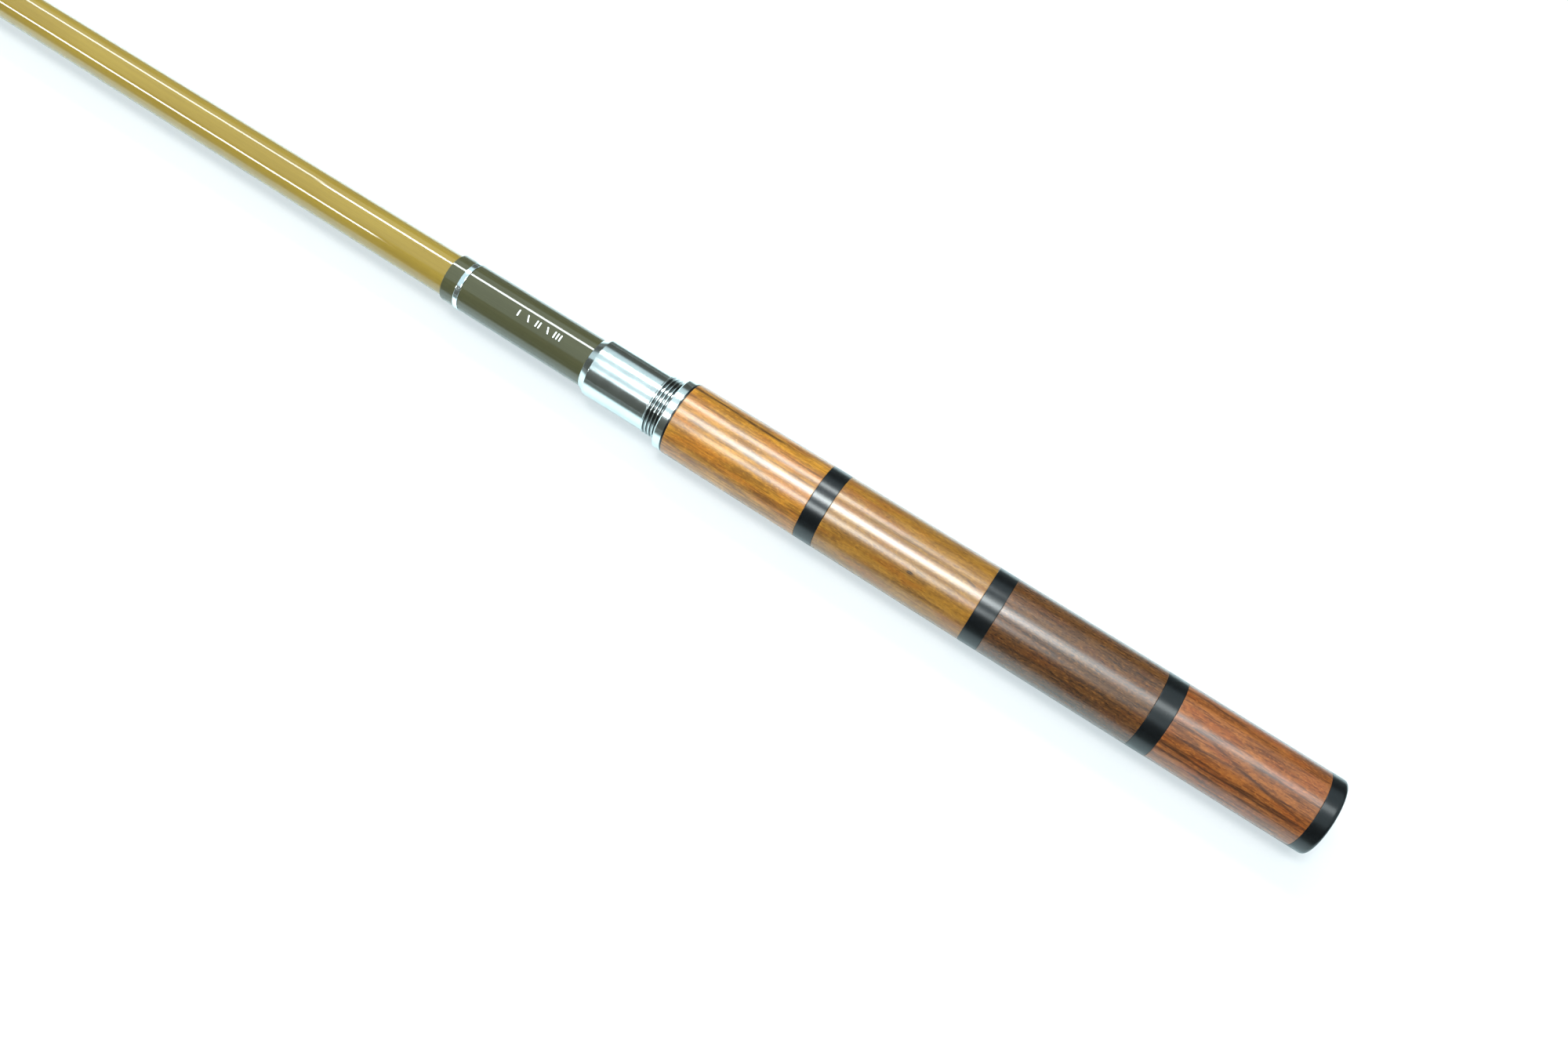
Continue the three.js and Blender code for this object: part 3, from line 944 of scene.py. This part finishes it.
class ROD_OT_butt_plug(bpy.types.Operator):
    """Make the screw plug, its threaded socket, seal and foam pad"""

    bl_idname = "rod.butt_plug"
    bl_label = "Butt plug"

    HEAD_END = 2.2
    SCREW_RADIUS = 8.4
    NECK_END = 3.6
    HOLE_RADIUS, HOLE_DEPTH, HOLE_OFFSET = 1.2, 1.5, 5.5
    DISH_RADIUS, DISH_DEPTH = 3.4, 0.35
    SEAL_SIDES = 24
    PAD_CROWN = 0.35

    def execute(self, context):
        shape = context.scene.rod_shape
        self.plug(shape)
        self.socket(shape)
        self.seal(shape)
        self.pad(shape)
        return {"FINISHED"}

    def threaded(self, shape, start, end, crest):
        """Grid of a screw surface, whose radius is crest minus depth where the ridge is lowest."""
        depth, pitch, sides = shape.thread_depth / MM, shape.thread_pitch / MM, shape.sides
        station = np.linspace(start, end, int(abs(end - start) / pitch * 10))
        from_ends = np.minimum(abs(station - start), abs(end - station))
        fade = np.clip(from_ends / pitch, 0, 1)[:, None]
        radius = crest - depth * (1 - helix(station, pitch, sides)) * fade
        return round_rod(station[:, None], radius, full_turn(sides))

    def plug(self, shape):
        """Head, screw and flat end, with a shallow dish and two spanner holes in the face."""
        size = turned_size("butt_plug")
        head = eased(
            [
                (self.DISH_DEPTH, 0),
                (self.DISH_DEPTH, self.DISH_RADIUS - 0.4),
                (size.start, self.DISH_RADIUS),
                (size.start, size.widest),
                (self.HEAD_END, size.widest),
                (self.HEAD_END, self.SCREW_RADIUS - 0.3),
                (self.NECK_END, self.SCREW_RADIUS - 0.3),
                (self.NECK_END, 0),
            ],
            [0, 0.2, 0.1, 0.3, 0.15, 0.1, 0, 0],
        )
        per_corner = len(head) // 8
        face = turned(head[: 7 * per_corner], shape.sides)
        screw = self.threaded(shape, self.NECK_END, size.end - 0.5, self.SCREW_RADIUS)
        tail = turned([(size.end, self.SCREW_RADIUS - 0.5), (size.end, 0)], shape.sides)
        piece = skin(
            "butt_plug_turned", np.concatenate([face, screw, tail]), finish_of("dark_anodised")
        )
        for side in (-1, 1):
            self.drill(piece, side * self.HOLE_OFFSET)
        stand_for(piece, "butt_plug")

    def drill(self, piece, offset):
        """Cuts one round spanner hole into the plug's face, at an offset along Y."""
        corners = [(-1, 0), (-1, self.HOLE_RADIUS), (self.HOLE_DEPTH, self.HOLE_RADIUS),
                   (self.HOLE_DEPTH + 0.4, 0)]
        grid = turned(corners, 48) + np.array([0, offset, 0])
        bit = skin("drill_bit", grid, finish_of("dark_anodised"))
        cut = piece.modifiers.new("drill", "BOOLEAN")
        cut.operation, cut.solver, cut.object = "DIFFERENCE", "EXACT", bit
        bpy.context.view_layer.update()
        whole = piece.evaluated_get(bpy.context.evaluated_depsgraph_get())
        drilled = bpy.data.meshes.new_from_object(whole)
        piece.modifiers.clear()
        piece.data = drilled
        bpy.data.objects.remove(bit)
        tidy_mesh(drilled, math.radians(30))

    def socket(self, shape):
        """A bush with the matching thread cut outwards from its bore."""
        size = turned_size("butt_socket")
        crest = size.bore_start + shape.thread_depth / MM
        bore = self.threaded(shape, size.end, size.start, crest)
        corners = [(size.start, size.outer_start), (size.end, size.outer_end)]
        grid = np.concatenate([turned(corners, shape.sides), bore])
        fit("butt_socket", "turned", grid, "dark_anodised")

    def seal(self, shape):
        """A round rubber ring: the tube's section is the ellipse that fills its seat."""
        size = turned_size("plug_o_ring")
        around = full_turn(self.SEAL_SIDES)
        station = (size.start + size.end) / 2 + (size.end - size.start) / 2 * np.cos(around)
        half_width = (size.widest - size.bore_start) / 2
        radius = size.widest - half_width + half_width * np.sin(around)
        grid = turned(np.stack([station, radius], axis=1), shape.sides)
        fit("plug_o_ring", "moulded", grid, "seal_rubber")

    def pad(self, shape):
        """A foam disc with a crowned face: station = edge + crown * (1 - (r / R)^2)."""
        size = turned_size("plug_pad")
        radius = np.linspace(size.widest - 0.5, 0, 12)
        face = size.end - self.PAD_CROWN * (radius / size.widest) ** 2
        shoulder = size.end - self.PAD_CROWN
        rim = [(size.start, 0), (size.start, size.widest - 0.2), (size.start + 0.25, size.widest),
               (shoulder - 0.5, size.widest), (shoulder - 0.12, size.widest - 0.15)]
        outline = np.concatenate([rim, np.stack([face, radius], axis=1)])
        fit("plug_pad", "foam", turned(outline, shape.sides), "pad_foam")


# --- Stage ---
# Strip lamps that run along the rod: their angle round the rod from +Y towards +Z, the stations
# they run between and their width in metres, and their share of the brightness
Lamp = namedtuple("Lamp", "angle start end width share")
LAMPS = {
    "lamp_far": Lamp(120, 0.28, 1.65, 0.34, 1.6),
    "lamp_far_end": Lamp(127, 1.65, 3.0, 0.34, 0.9),
    "lamp_over": Lamp(83, 0.13, 0.75, 0.5, 2.9),
    "lamp_near": Lamp(51, 0.2, 0.75, 0.42, 1.6),
    "lamp_rear": Lamp(93, -0.7, 0.13, 0.6, 0.5),
    "lamp_low": Lamp(31, 1.5, 3.0, 0.3, 1.5),
}


def swung(first, second, angle):
    """Two vectors at right angles, turned in their plane: cos a f + sin a s, cos a s - sin a f."""
    cosine, sine = math.cos(angle), math.sin(angle)
    return cosine * first + sine * second, cosine * second - sine * first


class ROD_OT_stage(bpy.types.Operator):
    """Lay the pale floor, hang the strip lamps and aim the camera"""

    bl_idname = "rod.stage"
    bl_label = "Floor, light and camera"

    AIM_STATION = 0.130
    PAN = math.radians(8.118)
    TILT = math.radians(1.32)
    ROLL = math.radians(31.87)

    def execute(self, context):
        stage = context.scene.rod_stage
        self.floor(stage)
        for name, lamp in LAMPS.items():
            self.lamp(context, stage, name, lamp)
        self.sky(context)
        self.camera(context, stage)
        context.scene.view_settings.view_transform = "Standard"
        return {"FINISHED"}

    def floor(self, stage):
        """A flat round sheet that touches the grip: rings of points about Z, out to its edge."""
        radius = np.linspace(0, 1, 9)[:, None] * stage.floor_size / 2
        angle = full_turn(96)
        x = self.AIM_STATION + radius * np.cos(angle)
        y = radius * np.sin(angle)
        top = np.stack([x, y, np.full_like(x, -GRIP_RADIUS * MM)], axis=-1)
        under = top[::-1] - np.array([0, 0, 0.004])
        floor = skin("floor", np.concatenate([top, under]) / MM, pale_paper("pale_floor"))

    def lamp(self, context, stage, name, lamp):
        """A strip that faces the rod. Its power is radiance times area times pi."""
        angle = math.radians(lamp.angle)
        away = Vector((0, math.cos(angle), math.sin(angle))) * stage.lamp_distance
        light = bpy.data.lights.new(name, "AREA")
        light.shape = "RECTANGLE"
        light.size, light.size_y = lamp.end - lamp.start, lamp.width
        light.energy = stage.lamp_brightness * lamp.share * light.size * light.size_y * math.pi
        light.color = LAMP_TINT
        hung = bpy.data.objects.new(name, light)
        facing = away.normalized()
        along = Vector((1, 0, 0))
        axes = Matrix((along, facing.cross(along), facing)).transposed()
        middle = away + along * (lamp.start + lamp.end) / 2
        hung.matrix_world = Matrix.Translation(middle) @ axes.to_4x4()
        hung.visible_camera = False
        context.scene.collection.objects.link(hung)

    def sky(self, context):
        """A plain room: pale ceiling, darker walls, and white where the camera or the floor looks."""
        context.scene.world = bpy.data.worlds.new("plain_room")
        recipe = Recipe(context.scene.world)
        direction = recipe.node("ShaderNodeTexCoord", output="Generated")
        x, y, z = recipe.parts(direction)
        aside = x.math("SQRT", y * y + x * x * 0.2 + 0.0001)
        near_side = recipe.step(y, -0.05, 0.05)
        edge = near_side * 0.4 + 0.53
        ceiling = recipe.step(z / aside - edge, -0.12, 0.12)
        room = recipe.mix(ceiling, (0.12, 0.13, 0.115), (0.8, 1.02, 1.08))
        room = recipe.mix(recipe.step(z, 0.01, -0.01), room, (1.05, 1.12, 1.14))
        seen = recipe.node("ShaderNodeLightPath", output="Is Camera Ray")
        light = recipe.node(
            "ShaderNodeBackground",
            sockets={"Color": recipe.mix(seen, room, (1.0, 1.0, 1.0)), "Strength": 1.0},
        )
        recipe.node("ShaderNodeOutputWorld", sockets={"Surface": light})

    def camera(self, context, stage):
        """Looks down at one station of the rod, then pans, tilts and rolls about its own axes."""
        rise = stage.elevation
        toward = Vector((0, math.cos(rise), math.sin(rise)))
        down = Vector((0, math.sin(rise), -math.cos(rise)))
        right, ahead = swung(Vector((-1, 0, 0)), -toward, self.PAN)
        ahead, down = swung(ahead, down, self.TILT)
        down, right = swung(down, right, self.ROLL)
        lens = bpy.data.cameras.new("camera")
        lens.lens, lens.sensor_width, lens.clip_start = stage.lens, 36, 0.01
        viewer = bpy.data.objects.new("camera", lens)
        axes = Matrix((right, -down, -ahead)).transposed()
        place = Vector((self.AIM_STATION, 0, 0)) + toward * stage.distance
        viewer.matrix_world = Matrix.Translation(place) @ axes.to_4x4()
        context.scene.collection.objects.link(viewer)
        context.scene.camera = viewer


# --- Panel and registration ---
OPERATORS = (
    ROD_OT_grip_blocks,
    ROD_OT_spacer_rings,
    ROD_OT_butt_ring,
    ROD_OT_ferrule,
    ROD_OT_handle_tube,
    ROD_OT_tally_marks,
    ROD_OT_sections,
    ROD_OT_mouth_windings,
    ROD_OT_butt_plug,
    ROD_OT_stage,
)
SETTINGS = {"rod_shape": RodShape, "rod_finish": RodFinish, "rod_stage": RodStage}


class ROD_PT_pieces(bpy.types.Panel):
    """The rod's pieces and stage"""

    bl_idname = "ROD_PT_pieces"
    bl_label = "Telescopic rod"
    bl_space_type = "VIEW_3D"
    bl_region_type = "UI"
    bl_category = "Rod"

    def draw(self, context):
        for group in SETTINGS:
            box = self.layout.box()
            settings = getattr(context.scene, group)
            for name in settings.bl_rna.properties.keys():
                if name not in ("rna_type", "name"):
                    box.prop(settings, name)
        for operator in OPERATORS:
            self.layout.operator(operator.bl_idname)


def register():
    for group in SETTINGS.values():
        bpy.utils.register_class(group)
    for operator in OPERATORS:
        bpy.utils.register_class(operator)
    bpy.utils.register_class(ROD_PT_pieces)
    for name, group in SETTINGS.items():
        setattr(bpy.types.Scene, name, PointerProperty(type=group))


def unregister():
    for name in SETTINGS:
        delattr(bpy.types.Scene, name)
    bpy.utils.unregister_class(ROD_PT_pieces)
    for operator in reversed(OPERATORS):
        bpy.utils.unregister_class(operator)
    for group in reversed(SETTINGS.values()):
        bpy.utils.unregister_class(group)


def main():
    register()
    for operator in OPERATORS:
        group, name = operator.bl_idname.split(".")
        getattr(getattr(bpy.ops, group), name)()


if __name__ == "__main__":
    main()
